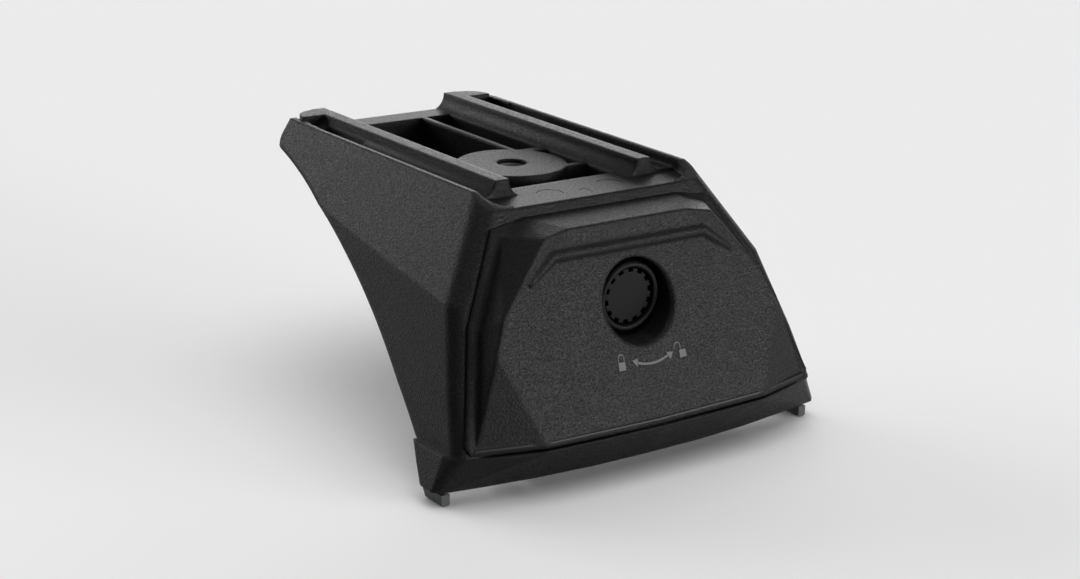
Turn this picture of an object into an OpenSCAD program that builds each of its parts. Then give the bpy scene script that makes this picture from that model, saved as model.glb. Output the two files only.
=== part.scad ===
// Lockable foot for a roof bar: a hollow moulded leg with two rails that cradle the bar, a lockable front cover
// and a base bracket. Millimetres. X runs along the front, Y to the rear along the rails, Z up.
// The origin is on the axis of the bar bolt, level with the top of the deck.

/* [Overall] */
// height of the deck above the bottom of the lugs
foot_h = 72; // [71.2:0.1:73]
// half width of the rim at its top edge
rim_half = 36.2; // [34:0.2:40]
// height of the rim above the deck
rim_h = 4; // [3:0.2:5]
// outward run of the upper side wall per millimetre of drop
side_flare = 0.656; // [0.5:0.01:0.75]
// thickness of the moulded walls
wall = 2.6; // [2:0.1:3.2]
// thickness of the deck
deck_t = 3; // [2.4:0.1:4]
// rear end of the deck and of the rails, from the bar bolt
rear_y = 72.4; // [66:0.2:80]
// radius of the arch under the foot
arch_r = 235; // [225:1:245]

/* [Rails] */
// clear width between the two rails
channel_w = 44.4; // [40:0.2:48]
// width of the flat top of a rail
rail_w = 4.5; // [3.5:0.1:6]
// height of a rail above the deck
rail_h = 5; // [4:0.1:6]
// front end of the rails, in front of the bar bolt
rail_front = 31.5; // [28:0.5:34]

/* [Bar bolt] */
// diameter of the bar bolt hole
bolt_d = 9; // [8.4:0.1:10.5]
// diameter of the round boss round the bolt hole
boss_d = 32.6; // [30:0.2:35]
// height of the boss
boss_h = 15; // [12:0.5:20]
// outside diameter of the steel bush in the boss
bush_d = 12.4; // [11.5:0.1:14]

/* [Pockets] */
// rear edge of the two rear pockets
pocket_rear = 63.4; // [60:0.2:66]
// front edge of the front pocket, in front of the bar bolt
pocket_front = 24.7; // [22:0.1:27]
// half width of the pockets
pocket_half = 18.7; // [17.5:0.1:19.5]
// depth of the pockets
pocket_deep = 10.6; // [9:0.2:11.4]
// thickness of the ribs in the pockets
rib_t = 1.8; // [1.4:0.1:2.4]
// front end of the side slots
slot_y0 = 37; // [34:0.5:42]
// rear end of the side slots
slot_y1 = 61; // [56:0.5:64]

/* [Lock] */
// height of the lock axis below the deck
lock_drop = 25.4; // [24:0.1:27]
// outside diameter of the turning sleeve
sleeve_d = 19.8; // [18:0.1:20.6]
// gap between the sleeve and the well in the cover
well_gap = 1.5; // [1:0.1:2]
// wall of the well
well_wall = 2.4; // [2:0.1:3]
// wall of the front of the sleeve
sleeve_wall = 1.6; // [1.4:0.1:2]
// step from the head of the sleeve down to its journal
shoulder = 1.85; // [1.4:0.05:2.4]
// gap between the front end of the sleeve and the bar bolt
sleeve_front = 59; // [57:0.2:61]
// length of the head of the sleeve
sleeve_head = 7.7; // [6:0.1:9]
// gap round the notched head of the plug
plug_gap = 0.5; // [0.3:0.05:0.8]
// diameter of the stem of the plug
stem_d = 10.24; // [9:0.1:11]
// number of notches round the plug
notches = 14; // [8:1:20]
// radial clearance of the turning journal
turn_gap = 0.08; // [0.05:0.01:0.1]
// reach of the cam from the lock axis
cam_reach = 20; // [18:0.5:23]
// width of the arm of the cam
cam_w = 9.2; // [8:0.2:10]

/* [Cover] */
// gap behind and under the cover
cover_gap = 0.25; // [0.15:0.05:0.4]
// height of the edge of the cover above the leg
cover_edge = 1.2; // [0.9:0.1:1.5]
// radius of the bead across the top of the panel of the cover
bead_r = 1.9; // [1.5:0.1:2.3]
// how far the bead lies sunk in the panel
bead_sink = 0.8; // [0.6:0.1:1.2]
// width of the flare round the mouth of the lock well
well_flare = 0.9; // [0.5:0.1:1.4]
// thickness of the wall of the cover
cover_wall = 2.4; // [2:0.1:3]

/* [Base] */
// thickness of the bracket metal
bracket_t = 2.3; // [2:0.1:3]
// outer face of each lug, from the middle
lug_x = 63.8; // [63:0.1:65]
// thickness of each lug
lug_t = 2.6; // [2:0.1:3]
// distance of each bracket screw from the middle
screw_x = 44; // [40:0.5:48]
// distance of each fixing hole from the middle
fix_x = 26; // [20:0.5:30]
// diameter of the fixing holes
fix_d = 6.6; // [5.5:0.1:8.5]
// height of the rubber pad
pad_h = 4.6; // [3:0.1:4.8]

/* [Hidden] */
$fn = 64;
deck_z = 0;
lug_z = deck_z - foot_h;
lock_z = deck_z - lock_drop;
rail_in = channel_w / 2;
rail_out = rail_in + rail_w;
top_z = deck_z + rail_h;
lean = 0.435;
skirt_z = lug_z + 13.8;
skirt_bottom = lug_z + 3.7;
cover_low = lug_z + 14.8;
well_d = sleeve_d + 2 * well_gap;
sleeve_bore = sleeve_d - 2 * sleeve_wall;
journal_d = sleeve_d - 2 * shoulder;
journal_flat = journal_d / 2 - 0.65;
plug_d = sleeve_bore - 2 * plug_gap;
core_d = stem_d + 0.16;
plate_z = skirt_bottom + 2.4;
screw_y = -56;
floor_y = -50;
floor_t = 3;
head_back = -sleeve_front + sleeve_head;
groove_y = floor_y + floor_t + 0.9;
clip_t = 1;
cam_y = -44;
cam_t = 2.5;
sleeve_end = cam_y + cam_t - 0.2;
bush_top = deck_z - 1.2;
hole_fn = 96;

function front_y(z) = -43.8 + lean * (z - deck_z + 3.2);
function upper_w(z) = rim_half + side_flare * (deck_z + rim_h - z);
function lower_w(y, z) = 53.6 - 0.0433 * (y + 48.3) - 0.2575 * (z - deck_z + 22.5);
function panel_y(z) = -58.2 + 0.348 * (z - deck_z + 11.7);

// one level of the flared body: front corners round, rear corners rounder
module level(z, front, w_front, w_rear, rear, r_front, r_rear) {
    for (s = [-1, 1]) {
        translate([s * (w_front - r_front), front + r_front, z])
            cylinder(r = r_front, h = 0.5, $fn = 32);
        translate([s * (w_rear - r_rear), rear - r_rear, z])
            cylinder(r = r_rear, h = 0.5, $fn = 32);
    }
}

// the flared body, drawn in by a margin all round
module flared(m, zt, zb) {
    intersection() {
        hull() {
            level(zt, front_y(zt) + m * 1.09, upper_w(zt) - m * 1.19, upper_w(zt) - m * 1.19, rear_y - m, 5.6 - m, 8 - m);
            level(zb, front_y(zb) + m, upper_w(zb) - m * 1.19, upper_w(zb) - m * 1.19, rear_y - m, 4 - m / 2, 8 - m);
        }
        hull() {
            level(zt, front_y(zt) + m, lower_w(-40, zt) - m, lower_w(rear_y, zt) - m, rear_y - m, 5.6 - m, 8 - m);
            level(zb + 14, front_y(zb + 14) + m, lower_w(-60, zb + 14) - 0.5 - m, lower_w(rear_y, zb + 14) - m,
                  rear_y - m, 4 - m / 2, 8 - m);
            level(zb, front_y(zb) + m, lower_w(-64, zb) - 1.5 - m, lower_w(rear_y, zb) - m, rear_y - m, 4 - m / 2, 8 - m);
        }
    }
}

// half of the plan of the skirt, [x, y] from the middle to the rear: at its top, above its lower edge and at its foot
skirt_top = [[0, -75.2], [19, -74.8], [37.3, -73.7], [51, -69.6], [58.8, -66.9], [61.4, -64.8], [62.6, -61.4], [62.4, -40]];
skirt_mid = [[0, -69.5], [18.5, -69.2], [37, -67.6], [53, -65.6], [61.8, -64.5], [65, -64], [66.7, -62.4], [65.3, -40]];
skirt_foot = [[0, -68.8], [18.2, -68.5], [36.5, -67], [52.6, -64.7], [61, -63.2], [63.7, -62.5], [65.2, -60.8], [64.6, -40]];

// one level of the skirt, drawn in by a margin
module skirt_level(z, half, m) {
    n = len(half);
    translate([0, 0, z])
        linear_extrude(height = 0.3)
            polygon([for (i = [0:2 * n - 2])
                     let (p = half[abs(n - 1 - i)])
                     [(i < n ? 1 : -1) * p[0] * (1 - m / 65), p[1] + m]]);
}

// the skirt below the cover
module skirt(m) {
    hull() {
        skirt_level(skirt_z - m - 0.3, skirt_top, m);
        if (m == 0)
            skirt_level(skirt_bottom + 0.9, skirt_mid, 0);
        skirt_level(skirt_bottom - (m > 0 ? 1 : 0), skirt_foot, m);
    }
}

// half of the section of the bar channel: a flat floor and a cove up to the rail
module channel_cut() {
    difference() {
        translate([-rail_in, 0])
            square([channel_w, rail_h + 2]);
        for (s = [-1, 1])
            translate([s * (rail_in - 2.6), 0])
                difference() {
                    translate([-2.6, -1])
                        square([5.2, 5.8]);
                    translate([-s * 2.6, 4.8])
                        circle(r = 5.2, $fn = hole_fn);
                }
    }
}

// section of the trough between a rail and the rim
module trough_cut() {
    difference() {
        translate([rail_out, 0.8])
            square([rim_half - 1 - rail_out, rail_h + 2]);
        difference() {
            translate([rail_out - 1, 0])
                square([5, 4.6]);
            translate([rail_out + 4.4, 5.2])
                circle(r = 4.4, $fn = hole_fn);
        }
    }
}

// everything removed above the deck
module top_cuts() {
    translate([0, rear_y + 5, deck_z])
        rotate([90, 0, 0])
            linear_extrude(height = rear_y + 5 + rail_front)
                channel_cut();
    for (s = [0, 1])
        mirror([s, 0, 0])
            translate([0, slot_y1 + 3, deck_z])
                rotate([90, 0, 0])
                    linear_extrude(height = slot_y1 + 3 + rail_front)
                        trough_cut();
    translate([0, 0, deck_z])
        linear_extrude(height = 20)
            difference() {
                translate([-rim_half + 1, -60])
                    square([2 * rim_half - 2, 60 - rail_front + 0.01]);
                for (s = [-1, 1])
                    translate([s * (rim_half - 8.5), front_y(deck_z) + 8])
                        difference() {
                            translate([s > 0 ? 0 : -9, -9])
                                square([9, 9]);
                            circle(r = 7.4, $fn = 48);
                        }
            }
    rotate([90, 0, 90])
        translate([0, 0, -60])
            linear_extrude(height = 120)
                polygon([[-60, deck_z], [-42.6, deck_z], [-35.2, deck_z + rim_h], [-34.5, deck_z + rim_h],
                         [-34.5, deck_z + 20], [-60, deck_z + 20]]);
    for (s = [0, 1])
        mirror([s, 0, 0]) {
            translate([rail_out, -80, deck_z + rim_h])
                cube([20, 79 + slot_y1, 10]);
            translate([rim_half - 1.8, -80, deck_z + rim_h])
                cube([20, 160, 10]);
            translate([0, 0, deck_z - 3])
                linear_extrude(height = 20)
                    difference() {
                        translate([rim_half - 9.4, rear_y - 8.2])
                            square([20, 20]);
                        translate([rim_half - 9.4, rear_y - 8.2])
                            circle(r = 7.6, $fn = 48);
                        translate([rim_half - 9.4 - 10, rear_y - 20])
                            square([10, 20]);
                    }
        }
}

// outer skin of the side wall, which runs on behind the round end of the side slot
module side_fin() {
    intersection() {
        rotate([90, 0, 90])
            translate([0, 0, rim_half - 4])
                linear_extrude(height = 14)
                    polygon([for (p = concat([[2, -10], [-8, -10], [-8, rim_h], [7.8, rim_h]],
                                             [for (a = [0:10:80]) [3.9 + 3.9 * cos(a), -3.9 * sin(a)]]))
                             [slot_y1 + p[0], deck_z + p[1]]]);
        translate([0, rear_y, 0])
            rotate([90, 0, 0])
                linear_extrude(height = 30)
                    polygon([for (p = [[0.03, rim_h], [2, rim_h], [2, -12], [0.03, -12]])
                             [upper_w(deck_z + p[1]) - p[0], deck_z + p[1]]]);
    }
}

// one pocket outline in the deck; the ribs and webs are left standing
module pocket_plan() {
    difference() {
        union() {
            translate([-pocket_half, -10])
                square([2 * pocket_half, pocket_rear + 10]);
            translate([-pocket_half, -pocket_front])
                square([2 * pocket_half, pocket_front]);
        }
        circle(d = boss_d, $fn = hole_fn);
        translate([9.2 - rib_t / 2, 0])
            square([rib_t, pocket_rear + 1]);
        for (s = [-1, 1]) {
            translate([s > 0 ? 10 : -20, 8.6])
                square([10, 3.6]);
            translate([s > 0 ? 10 : -20, -11.8])
                square([10, 2.6]);
        }
    }
}

module slot_plan() {
    slot_w = rim_half - 2.6 - rail_out;
    translate([rail_out + 1.2, slot_y0])
        square([slot_w, slot_y1 - slot_w / 2 - slot_y0]);
    translate([rail_out + 1.2 + slot_w / 2, slot_y1 - slot_w / 2])
        circle(d = slot_w, $fn = 48);
}

// ribs and tubes inside the leg
module inner_ribs() {
    translate([0, 0, deck_z - boss_h])
        cylinder(d = boss_d, h = boss_h, $fn = hole_fn);
    for (s = [-1, 1]) {
        translate([s * 20.4 - 1, -42, deck_z - 12])
            cube([2, 108, 12]);
        translate([s > 0 ? 9 : -20, 8.6, deck_z - 12])
            cube([11, 3.6, 12]);
        translate([s > 0 ? 9 : -20, -11.8, deck_z - 12])
            cube([11, 2.6, 12]);
    }
    translate([9.2 - rib_t / 2, 10, deck_z - 12])
        cube([rib_t, pocket_rear - 8, 12]);
    translate([-20, -pocket_front - 2.4, deck_z - 12])
        cube([40, 2.4, 12]);
}

// floor and walls of the rear pockets, which hang below the arch
module pocket_box() {
    translate([-pocket_half - 2, 13, deck_z - pocket_deep - 1.6])
        cube([2 * pocket_half + 4, pocket_rear + 2 - 13, pocket_deep + 1]);
}

// tower for a bracket screw, tied to the front wall
module screw_tower(s) {
    translate([s * screw_x, screw_y, plate_z + bracket_t])
        cylinder(d = 11, h = 15);
    translate([s * screw_x - 1.2, front_y(plate_z + 22), plate_z + bracket_t])
        cube([2.4, screw_y - front_y(plate_z + 22), 15]);
    translate([s * screw_x - 1.2, screw_y - 9, plate_z + bracket_t])
        cube([2.4, 9, 10]);
}

// seat behind the front wall that the cam hooks onto
module keeper() {
    rotate([90, 0, 90])
        translate([0, 0, -cam_reach - 3.2])
            linear_extrude(height = 8)
                polygon([[front_y(lock_z - 6) + 0.6, lock_z - 6], [front_y(lock_z + 6) + 0.6, lock_z + 6],
                         [cam_y - 0.4, lock_z + 6], [cam_y - 0.4, lock_z - 6]]);
}

module shell() {
    difference() {
        union() {
            difference() {
                union() {
                    difference() {
                        flared(0, top_z - 0.5, skirt_z);
                        top_cuts();
                    }
                    for (s = [0, 1])
                        mirror([s, 0, 0])
                            side_fin();
                    skirt(0);
                }
                flared(wall, deck_z - deck_t - 0.5, skirt_z - 0.5);
                skirt(1.5);
                translate([0, 0, skirt_z - wall - 1])
                    linear_extrude(height = wall + 2)
                        polygon([[59, -38], [59, -59], [56, -64.6], [-56, -64.6], [-59, -59], [-59, -38]]);
            }
            inner_ribs();
        }
        translate([0, 108.3, deck_z - arch_r])
            rotate([0, 90, 0])
                cylinder(r = arch_r, h = 200, center = true, $fn = 240);
    }
}

module housing() color([0.09, 0.09, 0.1]) {
    difference() {
        union() {
            shell();
            pocket_box();
            for (s = [-1, 1])
                screw_tower(s);
            keeper();
        }
        translate([0, 0, deck_z - pocket_deep])
            linear_extrude(height = pocket_deep + 1)
                pocket_plan();
        for (s = [0, 1])
            mirror([s, 0, 0])
                translate([0, 0, deck_z - deck_t - 1])
                    linear_extrude(height = 10)
                        slot_plan();
        translate([0, 0, deck_z - boss_h - 1])
            cylinder(d = bolt_d, h = boss_h + 2, $fn = hole_fn);
        translate([0, 0, deck_z - boss_h - 1])
            cylinder(d = bush_d + 0.06, h = boss_h + 1 - 1.2, $fn = hole_fn);
        translate([0, 0, deck_z - boss_h - 1])
            difference() {
                cylinder(d = boss_d - 2 * wall, h = boss_h - 3);
                cylinder(d = bush_d + 5, h = boss_h);
            }
        lock_opening();
        for (s = [-1, 1]) {
            translate([s * screw_x, screw_y, plate_z + bracket_t - 1])
                cylinder(d = 6.4, h = 13);
            translate([s * 30 - 6, front_y(skirt_z + 4) - 3, skirt_z + 3.2])
                cube([12, 9, 2.6]);
        }
    }
}

// hole in the front wall for the well of the cover, with a notch for the cam
module lock_opening() {
    translate([0, -40, lock_z])
        rotate([90, 0, 0])
            cylinder(d = well_d + 2 * well_wall + 0.8, h = 30, $fn = hole_fn);
    translate([-cam_w / 2 - 1, -68, lock_z - cam_reach - 0.8])
        cube([cam_w + 2, 26, 12]);
}

module bolt_bush() color([0.62, 0.63, 0.66])
    translate([0, 0, deck_z - boss_h])
        difference() {
            cylinder(d = bush_d, h = bush_top - deck_z + boss_h, $fn = hole_fn);
            translate([0, 0, -1])
                cylinder(d = bolt_d, h = boss_h + 2, $fn = hole_fn);
        }

// outer shape of the cover, drawn in by a margin; every corner is one named place
module cover_shape(m) {
    zt = deck_z - 2.6 - m;
    ym = m * 1.06;
    zl = cover_low + m;
    zc = cover_low - 0.8 + m;
    a = cover_gap - (m > 0 ? 3 : 0);
    b = m > 0 ? -1 : cover_edge;
    f = m > 0 ? 0.1 : cover_edge + 0.4;
    k = m > 0 ? 4.9 : 0;
    function rp(x, z, g) = [x, front_y(z) - g, z];
    function pp(x, z) = [x, panel_y(z) + ym, z];
    pts = [for (s = [1, -1]) for (p = [
        rp(26 - m, zt, a),
        rp(37.2 - k, deck_z - 4.2 - m, a),
        rp(50.9 - k, deck_z - 27.2, a),
        rp(59.1 - k, zl + 2.3, a),
        rp(57.9 - k, zl, a),
        rp(37.2 - k, deck_z - 4.2 - m, b),
        rp(50.9 - k, deck_z - 27.2, b),
        rp(59.1 - k, zl + 2.3, b),
        rp(57.9 - k, zl, b),
        rp(34.9 - k / 2, deck_z - 5.8 - m, f),
        rp(48.3 - k / 2, deck_z - 28, f),
        rp(56.2 - k / 2, zl + 2.2, f),
        [19.8 - m * 0.6, -56.8 + ym, deck_z - 3.5 - m],
        [28.5 - m * 0.9, -57.6 + ym, deck_z - 5 - m * 0.9],
        pp(44.4 - m, deck_z - 23.6),
        pp(48.3 - m, deck_z - 31.8),
        pp(37.3 - m * 0.5, zl),
        pp(26.8 - m * 0.9, deck_z - 11.7 - m * 0.2)]) [s * p[0], p[1], p[2]]];
    side = [[0, 13, 12], [0, 1, 5], [0, 5, 9], [0, 9, 13], [1, 2, 6], [1, 6, 5], [2, 3, 7], [2, 7, 6], [3, 4, 8],
            [3, 8, 7], [5, 6, 10], [5, 10, 9], [6, 7, 11], [6, 11, 10], [7, 8, 11], [9, 10, 14], [9, 14, 13],
            [10, 15, 14], [10, 11, 15], [11, 16, 15], [8, 16, 11], [12, 13, 17], [13, 14, 17], [4, 16, 8]];
    polyhedron(
        points = concat(pts, [pp(0, zc)]),
        faces = concat(
            [for (t = side) [t[0], t[2], t[1]]],
            [for (t = side) [t[0] + 18, t[1] + 18, t[2] + 18]],
            [[0, 12, 30, 18], [12, 17, 35, 30], [17, 14, 15, 16, 36, 34, 33, 32, 35], [4, 36, 16], [22, 34, 36],
             [4, 22, 36], [0, 18, 19, 20, 21, 22, 4, 3, 2, 1]]));
}

module front_cover() color([0.1, 0.1, 0.11]) {
    difference() {
        union() {
            difference() {
                union() {
                    cover_shape(0);
                    cover_bead();
                }
                cover_shape(cover_wall);
            }
            difference() {
                translate([0, floor_y + floor_t, lock_z])
                    rotate([90, 0, 0])
                        cylinder(d = well_d + 2 * well_wall, h = 30, $fn = hole_fn);
                front_trim();
            }
            for (s = [-1, 1])
                cover_hook(s);
        }
        translate([0, floor_y, lock_z])
            rotate([90, 0, 0])
                cylinder(d = well_d, h = 40, $fn = hole_fn);
        translate([0, panel_y(lock_z), lock_z])
            rotate([90 - atan(0.348), 0, 0])
                translate([0, 0, -well_flare])
                    cylinder(d1 = well_d + 0.2, d2 = well_d + 0.2 + 6 * well_flare, h = 3 * well_flare, $fn = hole_fn);
        translate([0, floor_y + 10, lock_z])
            rotate([90, 0, 0])
                cylinder(d = journal_d + 2 * turn_gap, h = 20, $fn = hole_fn);
    }
}

// low bead along the top edge of the panel, tapering away down its sides
module cover_bead() {
    half = 25.6;
    z0 = deck_z - 10.4;
    y0 = -57.98 + bead_sink;
    drop = [9, -2.6, -6.1];
    translate([-half, y0, z0])
        rotate([0, 90, 0])
            cylinder(r = bead_r, h = 2 * half, $fn = 48);
    for (s = [0, 1])
        mirror([s, 0, 0])
            translate([half, y0, z0]) {
                sphere(r = bead_r, $fn = 48);
                rotate([0, acos(drop[2] / norm(drop)), atan2(drop[1], drop[0])])
                    cylinder(r1 = bead_r, r2 = bead_sink, h = norm(drop), $fn = 48);
            }
}

// space in front of the middle of the wall of the cover
module front_trim() {
    rotate([90, 0, 90])
        translate([0, 0, -40])
            linear_extrude(height = 80)
                polygon([[-56, deck_z - 3.2], [panel_y(deck_z - 11.7) + 1.25, deck_z - 11.7],
                         [panel_y(cover_low) + 1.25, cover_low], [-110, cover_low], [-110, deck_z + 20],
                         [-56, deck_z + 20]]);
}

// hook at the foot of the cover: it passes through a slot in the leg
module cover_hook(s) {
    translate([s * 30 - 5, front_y(skirt_z + 4) - 5.6, skirt_z + 3.3])
        cube([10, 11.8, 2.2]);
    translate([s * 30 - 5, front_y(skirt_z + 4) + 4.2, skirt_z + 1.4])
        cube([10, 2, 4.1]);
}

module lock_sleeve() color([0.16, 0.16, 0.17])
    translate([0, 0, lock_z])
        rotate([90, 0, 0])
            difference() {
                rotate_extrude($fn = hole_fn)
                    polygon([[journal_d / 2, -sleeve_end],
                             [journal_d / 2, -groove_y - clip_t - 0.05],
                             [journal_d / 2 - 0.9, -groove_y - clip_t - 0.05],
                             [journal_d / 2 - 0.9, -groove_y + 0.05], [journal_d / 2, -groove_y + 0.05],
                             [journal_d / 2, -head_back], [sleeve_d / 2 - 0.4, -head_back],
                             [sleeve_d / 2, -head_back + 0.4], [sleeve_d / 2, sleeve_front - 0.5],
                             [sleeve_d / 2 - 0.5, sleeve_front], [sleeve_bore / 2 + 0.4, sleeve_front],
                             [sleeve_bore / 2, sleeve_front - 0.4], [sleeve_bore / 2, sleeve_front - 5.6],
                             [core_d / 2, sleeve_front - 5.6], [core_d / 2, 46], [2.03, 46], [2.03, -sleeve_end]]);
                for (s = [0, 1])
                    mirror([s, 0, 0])
                        translate([journal_flat, -journal_d, -sleeve_end - 0.01])
                            cube([10, 2 * journal_d, cam_t + 0.02]);
            }

module lock_plug() color([0.17, 0.17, 0.18])
    translate([0, 0, lock_z])
        rotate([90, 0, 0])
            union() {
                translate([0, 0, sleeve_front - 4.4])
                    difference() {
                        cylinder(d = plug_d, h = 3.4, $fn = hole_fn);
                        for (i = [0:notches - 1])
                            rotate([0, 0, i * 360 / notches + 8])
                                translate([plug_d / 2 - 0.9, -0.75, -1])
                                    cube([3, 1.5, 6]);
                    }
                translate([0, 0, sleeve_front - 12.4])
                    cylinder(d = stem_d, h = 8.1);
            }

module plug_seal() color([0.05, 0.05, 0.05])
    translate([0, 0, lock_z])
        rotate([90, 0, 0])
            translate([0, 0, sleeve_front - 5.5])
                difference() {
                    cylinder(d = sleeve_bore - 0.2, h = 1);
                    translate([0, 0, -1])
                        cylinder(d = core_d, h = 4);
                }

module sleeve_seal() color([0.05, 0.05, 0.05])
    translate([0, floor_y, lock_z])
        rotate([90, 0, 0])
            difference() {
                cylinder(d = well_d - 0.3, h = 1);
                translate([0, 0, -1])
                    cylinder(d = journal_d + 0.8, h = 4);
            }

module spring_washer() color([0.55, 0.56, 0.58])
    translate([0, floor_y + floor_t + 0.6, lock_z])
        rotate([90, 0, 0])
            difference() {
                cylinder(d = well_d - 0.8, h = 0.6);
                translate([0, 0, -1])
                    cylinder(d = journal_d + 0.8, h = 4);
            }

module sleeve_clip() color([0.4, 0.41, 0.43])
    translate([0, groove_y + clip_t, lock_z])
        rotate([90, 0, 0])
            difference() {
                cylinder(d = journal_d + 4.3, h = clip_t);
                translate([0, 0, -1])
                    cylinder(d = journal_d - 1.7, h = 4);
                translate([-4.6, 0, -1])
                    cube([9.2, 14, 4]);
            }

module lock_cam() color([0.7, 0.71, 0.73])
    translate([0, cam_y + cam_t, lock_z])
        rotate([90, 0, 0])
            difference() {
                linear_extrude(height = cam_t)
                    union() {
                        circle(d = journal_d + 5.9);
                        translate([cam_w / 2 - cam_reach, -cam_w / 2])
                            square([cam_reach - cam_w / 2, cam_w]);
                        translate([cam_w / 2 - cam_reach, 0])
                            circle(d = cam_w);
                    }
                intersection() {
                    translate([0, 0, -1])
                        cylinder(d = journal_d + 0.12, h = 8);
                    translate([-journal_flat - 0.06, -12, -2])
                        cube([2 * journal_flat + 0.12, 24, 10]);
                }
            }

module cam_washer() color([0.6, 0.61, 0.63])
    translate([0, cam_y + cam_t + 1.2, lock_z])
        rotate([90, 0, 0])
            difference() {
                cylinder(d = journal_d + 3.9, h = 1.2);
                translate([0, 0, -1])
                    cylinder(d = 4.3, h = 4);
            }

module cam_screw() color([0.5, 0.51, 0.54])
    translate([0, cam_y + cam_t + 1.2, lock_z])
        rotate([-90, 0, 0])
            difference() {
                union() {
                    cylinder(d = 7.6, h = 2.8);
                    translate([0, 0, -5.2])
                        cylinder(d = 4, h = 5.3);
                }
                translate([0, 0, 1.4])
                    cylinder(d = 3.4, h = 3, $fn = 6);
            }

// base bracket: a plate across the foot with a turned-down lug at each end
module base_bracket() color([0.12, 0.12, 0.13])
    difference() {
        union() {
            translate([3.9 - lug_x, screw_y - 4.8, plate_z])
                cube([2 * lug_x - 7.8, 10.8, bracket_t]);
            for (s = [0, 1])
                mirror([s, 0, 0])
                    translate([lug_x, screw_y + 8, 0])
                        rotate([90, 0, 0])
                            linear_extrude(height = 12)
                                polygon([[-5.3, plate_z], [-3.9, plate_z - 1.4], [-lug_t - 0.2, skirt_bottom - 0.4],
                                         [-lug_t, skirt_bottom - 1], [-lug_t, lug_z + 0.4], [0.4 - lug_t, lug_z],
                                         [-0.4, lug_z], [0, lug_z + 0.4], [0, skirt_bottom - 0.4],
                                         [-1, skirt_bottom - 0.4], [-1, skirt_bottom + 0.6], [-1.7, plate_z - 0.8],
                                         [-3.7, plate_z + bracket_t + 3.6], [-5.5, plate_z + bracket_t + 3.6]]);
            for (s = [0, 1])
                mirror([s, 0, 0])
                    translate([lug_x, screw_y - 3, 0])
                        rotate([90, 0, 0])
                            linear_extrude(height = 4)
                                polygon([[-lug_t, skirt_bottom - 0.5], [-lug_t, lug_z + 0.4], [0.4 - lug_t, lug_z],
                                         [-0.4, lug_z], [0, lug_z + 0.4], [0, skirt_bottom - 0.5]]);
            for (x = [-52, -14, 14, 52])
                translate([x - 1, screw_y - 4, plate_z - 1.4])
                    cube([2, 9, 1.5]);
        }
        for (s = [-1, 1]) {
            translate([s * screw_x, screw_y, plate_z - 3])
                cylinder(d = 5.5, h = 10);
            translate([s * fix_x, screw_y, plate_z - 3])
                cylinder(d = fix_d, h = 10, $fn = hole_fn);
        }
        rotate([90, 0, 90])
            translate([0, 0, -80])
                linear_extrude(height = 160)
                    polygon([for (p = [[8.4, 12.1], [0.4, -1], [16, -1], [16, 12.1]]) [screw_y + p[0], lug_z + p[1]]]);
    }

module bracket_screw(s) color([0.55, 0.56, 0.58])
    translate([s * screw_x, screw_y, plate_z - 1.2])
        difference() {
            union() {
                translate([0, 0, -2.8])
                    cylinder(d = 9, h = 2.8);
                cylinder(d = 4.9, h = 13);
            }
            translate([0, 0, -3])
                cylinder(d = 4, h = 2, $fn = 6);
        }

module bracket_washer(s) color([0.62, 0.63, 0.66])
    translate([s * screw_x, screw_y, plate_z - 1.2])
        difference() {
            cylinder(d = 11, h = 1.2);
            translate([0, 0, -1])
                cylinder(d = 5.3, h = 4);
        }

module insert(s) color([0.72, 0.58, 0.3])
    translate([s * screw_x, screw_y, plate_z + bracket_t])
        difference() {
            cylinder(d = 6.34, h = 10);
            translate([0, 0, -1])
                cylinder(d = 5, h = 12);
        }

module base_pad() color([0.06, 0.06, 0.06])
    difference() {
        translate([-fix_x - 10, screw_y - 4.4, plate_z - pad_h])
            cube([2 * fix_x + 20, 9, pad_h]);
        for (s = [-1, 1]) {
            translate([s * fix_x, screw_y, plate_z - 10])
                cylinder(d = fix_d, h = 12, $fn = hole_fn);
            translate([s * 14 - 1.1, screw_y - 6, plate_z - 1.5])
                cube([2.2, 16, 3]);
        }
    }

housing();
bolt_bush();
front_cover();
lock_sleeve();
lock_plug();
plug_seal();
sleeve_seal();
spring_washer();
sleeve_clip();
lock_cam();
cam_screw();
cam_washer();
base_bracket();
bracket_screw(-1);  // bracket_screw_left
bracket_screw(1);  // bracket_screw_right
bracket_washer(-1);  // bracket_washer_left
bracket_washer(1);  // bracket_washer_right
insert(-1);  // insert_left
insert(1);  // insert_right
base_pad();
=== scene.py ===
"""Looks of a lockable roof bar foot: moulded leg and cover, lock, signs, base and the studio round them."""

import math

import bmesh
import bpy
from mathutils import Matrix, Vector


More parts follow.
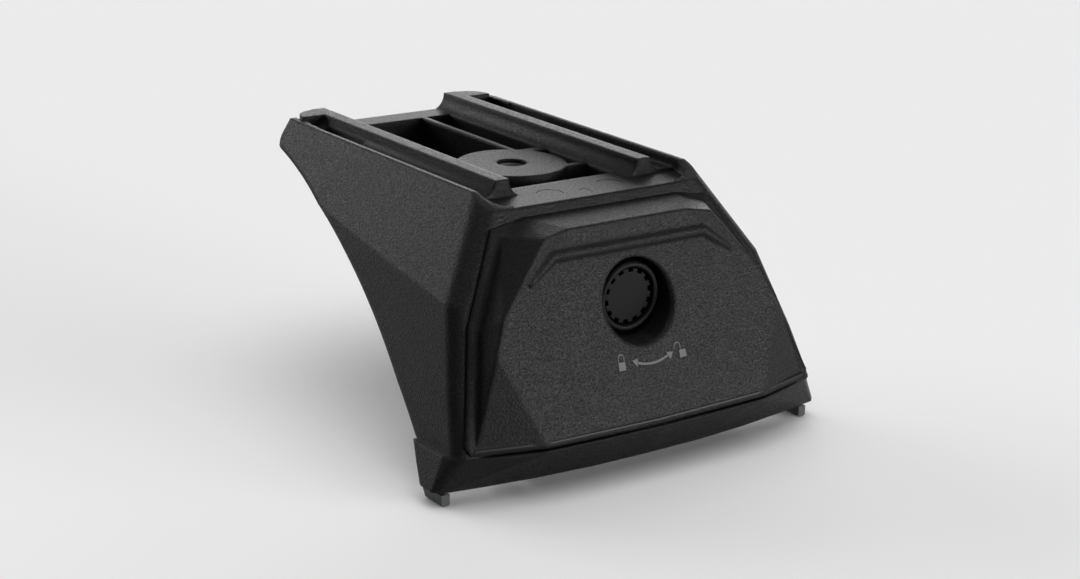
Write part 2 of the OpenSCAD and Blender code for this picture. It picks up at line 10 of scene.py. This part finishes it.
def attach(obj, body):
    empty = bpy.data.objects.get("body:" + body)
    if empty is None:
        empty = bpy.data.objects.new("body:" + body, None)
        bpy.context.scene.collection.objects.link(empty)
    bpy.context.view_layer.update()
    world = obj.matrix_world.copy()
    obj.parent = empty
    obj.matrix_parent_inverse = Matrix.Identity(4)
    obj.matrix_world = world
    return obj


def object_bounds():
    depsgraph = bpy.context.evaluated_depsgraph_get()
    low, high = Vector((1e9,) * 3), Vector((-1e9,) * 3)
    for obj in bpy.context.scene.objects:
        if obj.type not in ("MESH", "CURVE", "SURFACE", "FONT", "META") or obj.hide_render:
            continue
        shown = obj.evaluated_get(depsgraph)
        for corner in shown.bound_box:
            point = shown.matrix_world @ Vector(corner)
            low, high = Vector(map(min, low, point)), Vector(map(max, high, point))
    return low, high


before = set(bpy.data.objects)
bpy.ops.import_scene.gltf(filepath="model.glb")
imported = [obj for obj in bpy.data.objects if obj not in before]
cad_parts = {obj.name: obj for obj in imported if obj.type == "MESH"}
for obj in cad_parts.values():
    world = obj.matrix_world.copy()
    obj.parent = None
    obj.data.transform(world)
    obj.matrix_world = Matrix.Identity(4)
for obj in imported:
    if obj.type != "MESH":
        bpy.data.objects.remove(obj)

bl_info = {
    "name": "Roof bar foot",
    "version": (1, 1, 0),
    "blender": (4, 5, 0),
    "location": "3D View > Sidebar > Bar foot",
    "description": "Dresses the packed roof bar foot with its finishes, signs and studio",
    "category": "Object",
}

MM = 0.001
CAD_BOX = [list(corner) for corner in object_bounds()]

# The sloping panel of the cover, in mm: it passes y -58.2 at 11.7 below the deck and leans back by 0.348.
PANEL_Y, PANEL_Z, PANEL_LEAN = -58.2, -11.7, 0.348

# Generic lock signs: x and z in mm on that panel.
SHUT_BODY = ((-10.6, -42.3), (-8.25, -42.3), (-8.25, -40.1), (-10.6, -40.1))
SHUT_BOW = ((-10.35, -40.2), (-10.35, -39.0), (-10.1, -38.4), (-9.42, -38.12), (-8.75, -38.4),
            (-8.5, -39.0), (-8.5, -40.2))
OPEN_BODY = ((10.45, -42.2), (12.75, -42.1), (12.7, -40.0), (10.4, -40.1))
OPEN_BOW = ((8.85, -39.7), (8.95, -38.85), (9.4, -38.25), (10.05, -38.02), (10.7, -38.3), (10.95, -38.95),
            (10.9, -40.2))
ARROW_LINE = ((-4.5, -41.0), (-2.79, -41.5), (-0.93, -41.83), (0.97, -41.92), (2.94, -41.76),
              (4.99, -41.28), (6.8, -40.65))
ARROW_LEFT = ((-5.87, -40.25), (-4.35, -42.25), (-3.8, -39.95))
ARROW_RIGHT = ((8.4, -40.15), (5.95, -39.9), (7.1, -42.1))

# Lower edge of the cover's face, x, y and z in mm, where its rounded lip runs.
LIP_LINE = ((-56.6, -67.3, -56.3), (-39.0, -72.0, -56.3), (-35.5, -72.55, -56.35), (0.0, -72.8, -56.9),
            (35.5, -72.55, -56.35), (39.0, -72.0, -56.3), (56.6, -67.3, -56.3))

# Witness lines that the inserts of the mould leave on the deck: x and y in mm.
DECK_LINES = (
    ((-13.6, -32.3), (-12.3, -31.4), (-10.7, -30.7), (-9.3, -30.8), (-8.2, -31.6), (-7.3, -32.7),
     (-6.8, -34.1), (-7.0, -36.3)),
    ((-1.4, -35.8), (-0.2, -35.3), (1.0, -35.0), (1.2, -36.0), (1.1, -37.5), (1.2, -38.6)),
    ((8.0, -31.2), (9.6, -30.4), (11.3, -30.2), (12.7, -30.7), (13.8, -31.9), (14.3, -33.6), (14.1, -36.1)),
)

# Widths of drawn lines, and how far marks stand off, sink in and round off, in mm.
WITNESS_WIDTH, WITNESS_HEIGHT, WITNESS_SINK = 0.2, 0.04, 0.2
BOW_WIDTH, ARROW_WIDTH, SIGN_SINK, SIGN_SOFTNESS = 0.3, 0.62, 0.3, 0.06

# Rounding on the edges of the lock pieces and of the bracket, in mm.
LOCK_EDGE, BRACKET_EDGE = 0.2, 0.4

# Facets that meet at less than the first angle are one flat, and edges sharper than the second are rounded.
FLAT_DEGREES, EDGE_DEGREES, SIGN_EDGE_DEGREES = 0.6, 28, 50

# The floor, in metres: half its side, and how far it lies under the lowest point of the foot.
FLOOR_HALF, FLOOR_GAP = 6.0, 0.2 * MM

# A soft box is at full strength to this part of its half width, and fades out from there.
FULL_PART = 0.4

# Soft boxes of the studio, in degrees and brightness: azimuth from +Y towards +X and half width, elevation and
# half height, strength. 720 stands for all round.
SOFT_BOXES = (
    (0, 720, 90, 50, 2.0),
    (-24, 30, 20, 14, 6.0),
    (46, 38, 16, 21, 3.7),
    (149, 33, 2, 18, 17.5),
)


# ---------------------------------------------------------------- settings

class BarFootFinish(bpy.types.PropertyGroup):
    """Colours and surface textures of the foot."""
    nylon: bpy.props.StringProperty(
        name="Nylon", description="Colour of the black glass-filled nylon of the leg, as sRGB hex",
        default="#131313")
    cover_nylon: bpy.props.StringProperty(
        name="Cover nylon", description="Colour of the nylon of the cover, as sRGB hex",
        default="#131313")
    lock_enamel: bpy.props.StringProperty(
        name="Lock enamel", description="Colour of the black enamel on the lock sleeve, as sRGB hex",
        default="#131313")
    plug_acetal: bpy.props.StringProperty(
        name="Plug", description="Colour of the acetal plug, as sRGB hex", default="#101010")
    rubber: bpy.props.StringProperty(
        name="Rubber", description="Colour of the seals and the pad, as sRGB hex", default="#171718")
    powder: bpy.props.StringProperty(
        name="Powder coat", description="Colour of the coat on the bracket, as sRGB hex", default="#48494B")
    zinc: bpy.props.StringProperty(
        name="Zinc", description="Colour of the zinc plate, as sRGB hex", default="#C3C6CB")
    spring: bpy.props.StringProperty(
        name="Spring steel", description="Colour of oiled spring steel, as sRGB hex", default="#8E9095")
    brass: bpy.props.StringProperty(
        name="Brass", description="Colour of the turned brass, as sRGB hex", default="#D6B36B")
    sign_ink: bpy.props.StringProperty(
        name="Signs", description="Colour of the printed signs, as sRGB hex", default="#6A6A6A")
    grain: bpy.props.FloatProperty(
        name="Grain", description="Width of one spark-eroded pit of the mould", default=0.36 * MM,
        min=0.1 * MM, max=2 * MM, unit="LENGTH", precision=5)
    leg_edge: bpy.props.FloatProperty(
        name="Leg edge", description="Width of the rounding on the edges of the leg", default=0.5 * MM,
        min=0.0, max=2 * MM, unit="LENGTH", precision=5)
    cover_edge: bpy.props.FloatProperty(
        name="Cover edge", description="Width of the rounding on the edges of the cover", default=0.9 * MM,
        min=0.0, max=2 * MM, unit="LENGTH", precision=5)
    leg_softness: bpy.props.FloatProperty(
        name="Leg softness", description="Radius over which the shading of the leg's edges is softened",
        default=1.5 * MM, min=0.0, max=4 * MM, unit="LENGTH", precision=5)
    cover_softness: bpy.props.FloatProperty(
        name="Cover softness", description="Radius over which the shading of the cover's edges is softened",
        default=1.8 * MM, min=0.0, max=4 * MM, unit="LENGTH", precision=5)
    lip: bpy.props.FloatProperty(
        name="Lip", description="Radius of the rounded lip along the cover's lower edge",
        default=1.25 * MM, min=0.2 * MM, max=2 * MM, unit="LENGTH", precision=5)
    sign_height: bpy.props.FloatProperty(
        name="Sign height", description="How far the signs stand off the panel", default=0.15 * MM,
        min=0.02 * MM, max=0.5 * MM, unit="LENGTH", precision=5)


class BarFootStudio(bpy.types.PropertyGroup):
    """Camera, floor and light."""
    azimuth: bpy.props.FloatProperty(
        name="Azimuth", description="How far the camera stands to the left of the front",
        default=math.radians(35.14), subtype="ANGLE", unit="ROTATION")
    elevation: bpy.props.FloatProperty(
        name="Elevation", description="How far the camera looks down",
        default=math.radians(17.47), subtype="ANGLE", unit="ROTATION")
    roll: bpy.props.FloatProperty(
        name="Roll", description="Turn of the camera about its line of sight",
        default=math.radians(1.05), subtype="ANGLE", unit="ROTATION")
    place: bpy.props.FloatVectorProperty(
        name="Place", description="Where the camera stands", size=3,
        default=(-0.3378, -0.4956, 0.1498), subtype="TRANSLATION", unit="LENGTH")
    lens: bpy.props.FloatProperty(
        name="Lens", description="Focal length on a 36 mm wide sensor", default=70.0, min=10.0, max=300.0,
        unit="CAMERA")
    floor_colour: bpy.props.StringProperty(
        name="Floor", description="Colour of the floor, as sRGB hex", default="#F8F8F8")
    bounce_colour: bpy.props.StringProperty(
        name="Bounce", description="Grey of the floor in the light that it throws back, as sRGB hex",
        default="#7A7A7A")


# ---------------------------------------------------------------- helpers

def linear(hex_colour):
    """A #RRGGBB colour as linear red, green, blue and alpha."""
    parts = [int(hex_colour.lstrip("#")[i:i + 2], 16) / 255 for i in (0, 2, 4)]
    return [p / 12.92 if p <= 0.04045 else ((p + 0.055) / 1.055) ** 2.4 for p in parts] + [1.0]


def shaded(hex_colour, times):
    """The same colour, lighter or darker."""
    return [c * times for c in linear(hex_colour)[:3]] + [1.0]


def add(tree, kind, values=None, links=None, **settings):
    """Adds one node, sets its fields and sockets and links sockets of other nodes to it."""
    made = tree.nodes.new(kind)
    for name, value in settings.items():
        setattr(made, name, value)
    for socket, value in (values or {}).items():
        made.inputs[socket].default_value = value
    for socket, source in (links or {}).items():
        tree.links.new(source, made.inputs[socket])
    return made


def new_material(name):
    """An empty node material with its output, and its tree."""
    material = bpy.data.materials.new(name)
    material.use_nodes = True
    material.node_tree.nodes.clear()
    return material, material.node_tree


def dress(node_name, material):
    """Gives a CAD node a finish in place of the one it came with."""
    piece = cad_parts[node_name]
    piece.data.materials.clear()
    piece.data.materials.append(material)
    return piece


def round_edges(piece, width):
    """Joins the flat facets of a piece and rounds the edges between them."""
    weld = piece.modifiers.new("weld", "WELD")
    weld.merge_threshold = 0.002 * MM
    flats = piece.modifiers.new("join flats", "DECIMATE")
    flats.decimate_type = "DISSOLVE"
    flats.angle_limit = math.radians(FLAT_DEGREES)
    edges = piece.modifiers.new("round edges", "BEVEL")
    edges.width = width
    edges.segments = 2
    edges.limit_method = "ANGLE"
    edges.angle_limit = math.radians(EDGE_DEGREES)
    edges.use_clamp_overlap = True
    return piece


def on_panel(x, z, off=0.0):
    """A point of the cover's sloping panel, standing off it by off, all in mm, as metres."""
    slope = math.hypot(1.0, PANEL_LEAN)
    y = PANEL_Y + PANEL_LEAN * (z - PANEL_Z)
    return Vector((x, y - off / slope, z + off * PANEL_LEAN / slope)) * MM


def on_deck(x, y, off=0.0):
    """A point of the deck, standing off it by off, all in mm, as metres."""
    return Vector((x, y, off)) * MM


def smooth_line(points, steps=6):
    """More points on a smooth curve through the given ones."""
    ends = [Vector(p) for p in (points[0],) + tuple(points) + (points[-1],)]
    line = []
    for a, b, c, d in zip(ends, ends[1:], ends[2:], ends[3:]):
        for i in range(steps):
            t = i / steps
            line.append(0.5 * (2 * b + (c - a) * t + (2 * a - 5 * b + 4 * c - d) * t * t
                               + (3 * b - a - 3 * c + d) * t ** 3))
    return line + [ends[-1]]


def ribbon(points, width):
    """The outline of a line of the given width drawn through the points."""
    line = smooth_line(points)
    left, right = [], []
    for i, point in enumerate(line):
        ahead = (line[min(i + 1, len(line) - 1)] - line[max(i - 1, 0)]).normalized()
        side = Vector((-ahead.y, ahead.x)) * width / 2
        left.append(point + side)
        right.append(point - side)
    return left + right[::-1]


def relief(name, outlines, surface, height, sink, soften, material):
    """A thin raised mark: each outline laid on a surface, standing off it by height and sunk in by sink."""
    mesh = bpy.data.meshes.new(name)
    shape = bmesh.new()
    for outline in outlines:
        turning = sum(a[0] * b[1] - b[0] * a[1] for a, b in zip(outline, list(outline[1:]) + [outline[0]]))
        ring = list(outline) if turning > 0 else list(outline)[::-1]
        top = [shape.verts.new(surface(p[0], p[1], height)) for p in ring]
        low = [shape.verts.new(surface(p[0], p[1], -sink)) for p in ring]
        shape.faces.new(top)
        shape.faces.new(low[::-1])
        for i in range(len(ring)):
            j = (i + 1) % len(ring)
            shape.faces.new((top[j], top[i], low[i], low[j]))
    bmesh.ops.recalc_face_normals(shape, faces=shape.faces)
    shape.to_mesh(mesh)
    shape.free()
    mesh.materials.append(material)
    piece = bpy.data.objects.new(name, mesh)
    bpy.context.scene.collection.objects.link(piece)
    if soften:
        edges = piece.modifiers.new("soft edge", "BEVEL")
        edges.width = soften * MM
        edges.segments = 2
        edges.limit_method = "ANGLE"
        edges.angle_limit = math.radians(SIGN_EDGE_DEGREES)
    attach(piece, "leg")
    return piece


# ---------------------------------------------------------------- finishes

def moulded_nylon(name, colour, grain, rough, softness):
    """Glass-filled nylon moulded against a spark-eroded tool: near-black and evenly pitted, so that it shows a
    fine salt-and-pepper grain and a broad soft sheen that turns pale grey at a shallow angle."""
    material, tree = new_material(name)
    place = add(tree, "ShaderNodeTexCoord").outputs["Object"]
    pits = add(tree, "ShaderNodeTexNoise", {"Scale": 0.6 / grain, "Detail": 2.0, "Roughness": 0.7},
               {"Vector": place})
    flow = add(tree, "ShaderNodeTexNoise", {"Scale": 1 / (14 * MM), "Detail": 2.0}, {"Vector": place})
    fibre = add(tree, "ShaderNodeMapRange", {"From Min": 0.3, "From Max": 0.7, "To Min": 0.2, "To Max": 1.8},
                {"Value": pits.outputs["Fac"]})
    drift = add(tree, "ShaderNodeMapRange", {"From Min": 0.3, "From Max": 0.7, "To Min": 0.9, "To Max": 1.1},
                {"Value": flow.outputs["Fac"]})
    both = add(tree, "ShaderNodeMath", links={0: fibre.outputs["Result"], 1: drift.outputs["Result"]},
               operation="MULTIPLY")
    tint = add(tree, "ShaderNodeVectorMath", {0: linear(colour)[:3]}, {"Scale": both.outputs["Value"]},
               operation="SCALE")
    gloss = add(tree, "ShaderNodeMapRange", {"From Min": 0.3, "From Max": 0.7, "To Min": rough + 0.2,
                                             "To Max": rough - 0.14}, {"Value": pits.outputs["Fac"]})
    rounded = add(tree, "ShaderNodeBevel", {"Radius": softness}, samples=6)
    bump = add(tree, "ShaderNodeBump", {"Strength": 1.0, "Distance": 0.2 * MM},
               {"Height": pits.outputs["Fac"], "Normal": rounded.outputs["Normal"]})
    shader = add(tree, "ShaderNodeBsdfPrincipled", {"IOR": 1.53, "Metallic": 0.0, "Specular IOR Level": 0.12},
                 {"Base Color": tint.outputs["Vector"], "Roughness": gloss.outputs["Result"],
                  "Normal": bump.outputs["Normal"]})
    add(tree, "ShaderNodeOutputMaterial", links={"Surface": shader.outputs["BSDF"]})
    return material


def plain_metal(name, colour, rough, streak):
    """Plated or turned metal: bright, with fine marks along one way."""
    material, tree = new_material(name)
    place = add(tree, "ShaderNodeTexCoord").outputs["Object"]
    lie = add(tree, "ShaderNodeMapping", {"Scale": (1.0, 0.05, 1.0)}, {"Vector": place})
    marks = add(tree, "ShaderNodeTexNoise", {"Scale": 1 / streak, "Detail": 4.0}, {"Vector": lie.outputs["Vector"]})
    tone = add(tree, "ShaderNodeValToRGB", links={"Fac": marks.outputs["Fac"]})
    tone.color_ramp.elements[0].color = shaded(colour, 0.8)
    tone.color_ramp.elements[1].color = linear(colour)
    gloss = add(tree, "ShaderNodeMapRange", {"To Min": rough - 0.06, "To Max": rough + 0.08},
                {"Value": marks.outputs["Fac"]})
    shader = add(tree, "ShaderNodeBsdfPrincipled", {"Metallic": 1.0},
                 {"Base Color": tone.outputs["Color"], "Roughness": gloss.outputs["Result"]})
    add(tree, "ShaderNodeOutputMaterial", links={"Surface": shader.outputs["BSDF"]})
    return material


def coated(name, colour, rough, grain, depth, specular=0.12):
    """Enamel, powder coat, acetal, ink or rubber: one colour with its own fine grain."""
    material, tree = new_material(name)
    place = add(tree, "ShaderNodeTexCoord").outputs["Object"]
    skin = add(tree, "ShaderNodeTexNoise", {"Scale": 0.6 / grain, "Detail": 2.0}, {"Vector": place})
    tone = add(tree, "ShaderNodeValToRGB", links={"Fac": skin.outputs["Fac"]})
    tone.color_ramp.elements[0].color = shaded(colour, 0.75)
    tone.color_ramp.elements[1].color = shaded(colour, 1.2)
    bump = add(tree, "ShaderNodeBump", {"Strength": 0.6, "Distance": depth}, {"Height": skin.outputs["Fac"]})
    shader = add(tree, "ShaderNodeBsdfPrincipled", {"Roughness": rough, "IOR": 1.5, "Specular IOR Level": specular},
                 {"Base Color": tone.outputs["Color"], "Normal": bump.outputs["Normal"]})
    add(tree, "ShaderNodeOutputMaterial", links={"Surface": shader.outputs["BSDF"]})
    return material


# ---------------------------------------------------------------- pieces

class BARFOOT_OT_leg(bpy.types.Operator):
    """Finish the moulded leg and the witness lines on its deck"""
    bl_idname = "barfoot.leg"
    bl_label = "Leg"

    def execute(self, context):
        finish = context.scene.barfoot_finish
        nylon = moulded_nylon("glass-filled nylon, spark-eroded", finish.nylon, finish.grain, 0.38,
                              finish.leg_softness)
        round_edges(dress("housing", nylon), finish.leg_edge)
        # Witness lines of the mould's inserts: hair-thin, barely raised lines, coloured darker than the grain round
        # them as painted shade.
        painted_shade_lines = coated("witness lines in painted shade", "#080808", 0.9, 0.5 * MM, 0.01 * MM, 0.0)
        relief("deck_witness_lines", [ribbon(line, WITNESS_WIDTH) for line in DECK_LINES], on_deck,
               WITNESS_HEIGHT, WITNESS_SINK, 0, painted_shade_lines)
        return {"FINISHED"}


class BARFOOT_OT_cover(bpy.types.Operator):
    """Finish the front cover and lay its lock signs"""
    bl_idname = "barfoot.cover"
    bl_label = "Cover"

    def execute(self, context):
        finish = context.scene.barfoot_finish
        nylon = moulded_nylon("glass-filled nylon cover, spark-eroded", finish.cover_nylon, finish.grain, 0.38,
                              finish.cover_softness)
        round_edges(dress("front_cover", nylon), finish.cover_edge)
        # Pad-printed ink: a flat mid grey, matt and even.
        ink = coated("pad-printed grey ink", finish.sign_ink, 0.5, 0.4 * MM, 0.01 * MM)
        height = finish.sign_height / MM
        signs = (("sign_shut", [SHUT_BODY, ribbon(SHUT_BOW, BOW_WIDTH)]),
                 ("sign_open", [OPEN_BODY, ribbon(OPEN_BOW, BOW_WIDTH)]),
                 ("sign_turn", [ribbon(ARROW_LINE, ARROW_WIDTH), ARROW_LEFT, ARROW_RIGHT]))
        for name, outlines in signs:
            relief(name, outlines, on_panel, height, SIGN_SINK, SIGN_SOFTNESS, ink)
        path = bpy.data.curves.new("cover_lower_lip", "CURVE")
        path.dimensions = "3D"
        path.bevel_depth = finish.lip
        path.bevel_resolution = 4
        path.use_fill_caps = True
        line = path.splines.new("POLY")
        line.points.add(len(LIP_LINE) - 1)
        for point, place in zip(line.points, LIP_LINE):
            point.co = [c * MM for c in place] + [1.0]
        # Moulded nylon rubbed smooth along the lip: it catches a thin light line.
        path.materials.append(coated("glass-filled nylon lip, worn smooth", finish.cover_nylon, 0.4, 0.4 * MM,
                                     0.05 * MM, 0.22))
        lip = bpy.data.objects.new("cover_lower_lip", path)
        context.scene.collection.objects.link(lip)
        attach(lip, "leg")
        return {"FINISHED"}


class BARFOOT_OT_lock(bpy.types.Operator):
    """Finish the lock sleeve, its plug and its seals"""
    bl_idname = "barfoot.lock"
    bl_label = "Lock"

    def execute(self, context):
        finish = context.scene.barfoot_finish
        # Stoved enamel: black and even, with a soft clear sheen round the rims.
        enamel = coated("black enamel on die-cast zinc", finish.lock_enamel, 0.36, 0.5 * MM, 0.02 * MM)
        # Moulded acetal: a waxy near-black, a little duller than the enamel.
        acetal = coated("moulded acetal", finish.plug_acetal, 0.42, 0.4 * MM, 0.02 * MM)
        # Moulded rubber: dull and black, with hardly any sheen.
        rubber = coated("nitrile rubber", finish.rubber, 0.8, 0.3 * MM, 0.02 * MM)
        round_edges(dress("lock_sleeve", enamel), LOCK_EDGE * MM)
        round_edges(dress("lock_plug", acetal), LOCK_EDGE * MM)
        for name in ("plug_seal", "sleeve_seal"):
            dress(name, rubber)
        return {"FINISHED"}


class BARFOOT_OT_hardware(bpy.types.Operator):
    """Finish the bush, cam, screws, washers, clip and inserts"""
    bl_idname = "barfoot.hardware"
    bl_label = "Hardware"

    def execute(self, context):
        finish = context.scene.barfoot_finish
        # Zinc plate: pale, slightly blue and satin, with faint drawing marks.
        zinc = plain_metal("zinc-plated steel", finish.zinc, 0.38, 0.5 * MM)
        # Spring steel left oiled: a darker grey with a greasy shine.
        spring = plain_metal("oiled spring steel", finish.spring, 0.34, 0.4 * MM)
        # Turned brass: warm yellow, with the fine rings of the tool.
        brass = plain_metal("turned brass", finish.brass, 0.3, 0.3 * MM)
        for name in ("bolt_bush", "lock_cam", "cam_screw", "cam_washer", "bracket_screw_left",
                     "bracket_screw_right", "bracket_washer_left", "bracket_washer_right"):
            dress(name, zinc)
        for name in ("spring_washer", "sleeve_clip"):
            dress(name, spring)
        for name in ("insert_left", "insert_right"):
            dress(name, brass)
        return {"FINISHED"}


class BARFOOT_OT_base(bpy.types.Operator):
    """Finish the base bracket and its rubber pad"""
    bl_idname = "barfoot.base"
    bl_label = "Base"

    def execute(self, context):
        finish = context.scene.barfoot_finish
        # Baked powder coat: mid grey, finely pebbled, with a dull sheen.
        powder = coated("powder coat on steel", finish.powder, 0.45, 0.5 * MM, 0.05 * MM, 0.35)
        round_edges(dress("base_bracket", powder), BRACKET_EDGE * MM)
        # The same rubber, pressed in a rougher mould.
        dress("base_pad", coated("moulded rubber pad", finish.rubber, 0.85, 0.5 * MM, 0.03 * MM))
        return {"FINISHED"}


# ---------------------------------------------------------------- stage

def place_camera(scene, studio):
    """The camera, where the settings say, looking at the foot from its front left."""
    az, el, roll = studio.azimuth, studio.elevation, studio.roll
    level = Vector((math.cos(az), -math.sin(az), 0))
    upward = Vector((math.sin(az) * math.sin(el), math.cos(az) * math.sin(el), math.cos(el)))
    ahead = Vector((math.sin(az) * math.cos(el), math.cos(az) * math.cos(el), -math.sin(el)))
    right = level * math.cos(roll) + upward * math.sin(roll)
    up = upward * math.cos(roll) - level * math.sin(roll)
    camera = bpy.data.objects.new("camera", bpy.data.cameras.new("camera"))
    scene.collection.objects.link(camera)
    camera.data.sensor_width = 36.0
    camera.data.lens = studio.lens
    camera.data.clip_start = 0.01
    camera.data.clip_end = 50.0
    turn = Matrix((right, up, -ahead)).transposed().to_4x4()
    camera.matrix_world = Matrix.Translation(Vector(studio.place)) @ turn
    scene.camera = camera


def lay_floor(scene, studio):
    """A plain pale floor just under the foot."""
    floor_mesh = bpy.data.meshes.new("floor")
    low = CAD_BOX[0][2] - FLOOR_GAP
    corners = [(x * FLOOR_HALF, y * FLOOR_HALF, low) for x, y in ((-1, -1), (1, -1), (1, 1), (-1, 1))]
    floor_mesh.from_pydata(corners, [], [(0, 1, 2, 3)])
    floor = bpy.data.objects.new("floor", floor_mesh)
    scene.collection.objects.link(floor)
    # Pale paper to the eye and in reflections, and a mid grey in the soft light that it throws back.
    material, tree = new_material("pale paper floor")
    rays = add(tree, "ShaderNodeLightPath")
    pale = add(tree, "ShaderNodeBsdfDiffuse", {"Color": linear(studio.floor_colour)})
    grey = add(tree, "ShaderNodeBsdfDiffuse", {"Color": linear(studio.bounce_colour)})
    mixed = add(tree, "ShaderNodeMixShader", links={0: rays.outputs["Is Diffuse Ray"],
                                                    1: pale.outputs["BSDF"], 2: grey.outputs["BSDF"]})
    add(tree, "ShaderNodeOutputMaterial", links={"Surface": mixed.outputs["Shader"]})
    floor.data.materials.append(material)


def light_studio(scene):
    """A world of soft boxes, each fading out towards its rim."""
    world = bpy.data.worlds.new("studio")
    scene.world = world
    world.use_nodes = True
    tree = world.node_tree
    tree.nodes.clear()
    sky = add(tree, "ShaderNodeTexCoord").outputs["Generated"]
    way = add(tree, "ShaderNodeSeparateXYZ", links={"Vector": sky})
    round_about = add(tree, "ShaderNodeMath", links={0: way.outputs["X"], 1: way.outputs["Y"]},
                      operation="ARCTAN2")
    height = add(tree, "ShaderNodeMath", links={0: way.outputs["Z"]}, operation="ARCSINE")
    total = None
    for azimuth, wide, elevation, tall, strength in SOFT_BOXES:
        part = None
        for angle, middle, half in ((round_about, azimuth, wide), (height, elevation, tall)):
            off = add(tree, "ShaderNodeMath", {1: math.radians(middle)}, {0: angle.outputs["Value"]},
                      operation="SUBTRACT")
            off = add(tree, "ShaderNodeMath", {1: -math.pi, 2: math.pi}, {0: off.outputs["Value"]},
                      operation="WRAP")
            off = add(tree, "ShaderNodeMath", links={0: off.outputs["Value"]}, operation="ABSOLUTE")
            near = add(tree, "ShaderNodeMapRange", {"From Min": math.radians(half),
                                                    "From Max": math.radians(half * FULL_PART)},
                       {"Value": off.outputs["Value"]}, interpolation_type="SMOOTHSTEP")
            part = near.outputs["Result"] if part is None else add(
                tree, "ShaderNodeMath", links={0: part, 1: near.outputs["Result"]},
                operation="MULTIPLY").outputs["Value"]
        total = add(tree, "ShaderNodeMath", {1: strength, 2: 0.0},
                    {0: part} if total is None else {0: part, 2: total},
                    operation="MULTIPLY_ADD").outputs["Value"]
    light = add(tree, "ShaderNodeBackground", links={"Strength": total})
    add(tree, "ShaderNodeOutputWorld", links={"Surface": light.outputs["Background"]})


class BARFOOT_OT_stage(bpy.types.Operator):
    """Lay the floor, set the light and place the camera"""
    bl_idname = "barfoot.stage"
    bl_label = "Stage"

    def execute(self, context):
        scene = context.scene
        scene.view_settings.view_transform = "Standard"
        place_camera(scene, scene.barfoot_studio)
        lay_floor(scene, scene.barfoot_studio)
        light_studio(scene)
        return {"FINISHED"}


OPERATORS = (BARFOOT_OT_leg, BARFOOT_OT_cover, BARFOOT_OT_lock, BARFOOT_OT_hardware, BARFOOT_OT_base,
             BARFOOT_OT_stage)


class BARFOOT_PT_panel(bpy.types.Panel):
    """Sizes, colours and pieces of the bar foot"""
    bl_idname = "BARFOOT_PT_panel"
    bl_label = "Bar foot"
    bl_space_type = "VIEW_3D"
    bl_region_type = "UI"
    bl_category = "Bar foot"

    def draw(self, context):
        column = self.layout.column()
        for group in (context.scene.barfoot_finish, context.scene.barfoot_studio):
            for name in group.__annotations__:
                column.prop(group, name)
        for operator in OPERATORS:
            column.operator(operator.bl_idname)


CLASSES = (BarFootFinish, BarFootStudio) + OPERATORS + (BARFOOT_PT_panel,)


def register():
    for each in CLASSES:
        bpy.utils.register_class(each)
    bpy.types.Scene.barfoot_finish = bpy.props.PointerProperty(type=BarFootFinish)
    bpy.types.Scene.barfoot_studio = bpy.props.PointerProperty(type=BarFootStudio)


def unregister():
    del bpy.types.Scene.barfoot_studio
    del bpy.types.Scene.barfoot_finish
    for each in reversed(CLASSES):
        bpy.utils.unregister_class(each)


def main():
    register()
    bpy.ops.barfoot.leg()
    bpy.ops.barfoot.cover()
    bpy.ops.barfoot.lock()
    bpy.ops.barfoot.hardware()
    bpy.ops.barfoot.base()
    bpy.ops.barfoot.stage()


if __name__ == "__main__":
    main()
